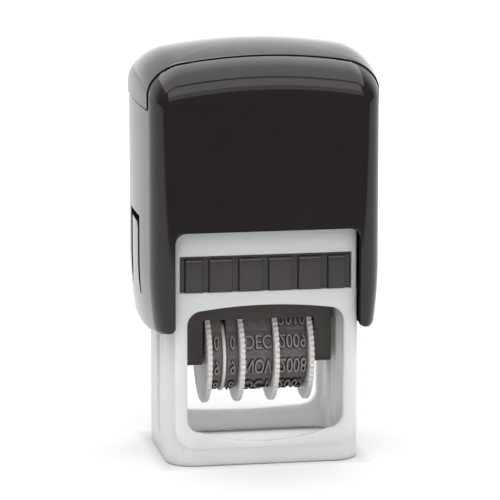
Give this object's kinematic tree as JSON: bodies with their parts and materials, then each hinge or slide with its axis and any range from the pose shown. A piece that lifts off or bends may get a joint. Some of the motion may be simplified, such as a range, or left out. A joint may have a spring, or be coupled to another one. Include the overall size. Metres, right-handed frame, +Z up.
{
  "type": "date stamp",
  "caption": "Self-inking date stamp: a sprung black cap slides over a white base frame and turns over a carriage of date wheels and bands from its ink cartridge to the paper.",
  "frame": {"origin": "middle of the base's rim, on the paper", "axes": "+Z up along the cap's travel, -Y the front with the window and the cartridge's grip, +X right"},
  "size_m": [0.0638, 0.0484, 0.1122],
  "materials": {
    "base_plastic": "satin",
    "cap_plastic": "gloss",
    "cartridge_plastic": "satin",
    "wheel_plastic": "satin",
    "band_rubber": "matte",
    "type_rubber": "matte",
    "ink_felt": "matte",
    "steel": "satin"
  },
  "bodies": {
    "base": {"base_frame": "base_plastic", "return_spring": "steel"},
    "ink_cartridge": {"ink_tray": "cartridge_plastic", "ink_pad": "ink_felt"},
    "cap": {"cap_shell": "cap_plastic", "top_cover": "cap_plastic"},
    "left_tab": {"left_lock_tab": "cap_plastic"},
    "right_tab": {"right_lock_tab": "cap_plastic"},
    "carriage": {"carriage_frame": "cartridge_plastic", "text_plate": "type_rubber", "type_bar": "cartridge_plastic", "tens_band": "band_rubber", "units_band": "band_rubber", "month_band": "band_rubber", "year_band": "band_rubber", "wheel_axle": "steel", "left_pivot_pin": "steel", "right_pivot_pin": "steel", "left_turn_pin": "steel", "right_turn_pin": "steel"},
    "tens_dial": {"tens_wheel": "wheel_plastic"},
    "units_dial": {"units_wheel": "wheel_plastic"},
    "month_dial": {"month_wheel": "wheel_plastic"},
    "year_dial": {"year_wheel": "wheel_plastic"}
  },
  "joints": [
    {"name": "cap_press", "type": "slide", "parent": "base", "child": "cap", "axis": [0, 0, -1], "range_m": [0, 0.0334], "stiffness_N_per_m": 400, "springref_m": -0.03, "deforming": ["return_spring"]},
    {"name": "carriage_turn", "type": "hinge", "parent": "cap", "child": "carriage", "pos_m": [0, 0, 0.0401], "axis": [-1, 0, 0], "range_deg": [0, 180]},
    {"name": "tens_turn", "type": "hinge", "parent": "carriage", "child": "tens_dial", "pos_m": [0, 0, 0.0266], "axis": [1, 0, 0], "continuous": true},
    {"name": "units_turn", "type": "hinge", "parent": "carriage", "child": "units_dial", "pos_m": [0, 0, 0.0266], "axis": [1, 0, 0], "continuous": true},
    {"name": "month_turn", "type": "hinge", "parent": "carriage", "child": "month_dial", "pos_m": [0, 0, 0.0266], "axis": [1, 0, 0], "continuous": true},
    {"name": "year_turn", "type": "hinge", "parent": "carriage", "child": "year_dial", "pos_m": [0, 0, 0.0266], "axis": [1, 0, 0], "continuous": true},
    {"name": "cartridge_slide", "type": "slide", "parent": "base", "child": "ink_cartridge", "axis": [0, 1, 0], "range_m": [-0.04, 0]},
    {"name": "left_tab_flex", "type": "hinge", "parent": "cap", "child": "left_tab", "pos_m": [-0.0303, 0.0045, 0.0443], "axis": [0, 1, 0], "range_deg": [0, 4], "stiffness_Nm_per_rad": 4},
    {"name": "right_tab_flex", "type": "hinge", "parent": "cap", "child": "right_tab", "pos_m": [0.0303, 0.0045, 0.0443], "axis": [0, -1, 0], "range_deg": [0, 4], "stiffness_Nm_per_rad": 4}
  ],
  "couplings": [
    {"joint": "carriage_turn", "follows": "cap_press", "rad_per_m": 94.05}
  ]
}
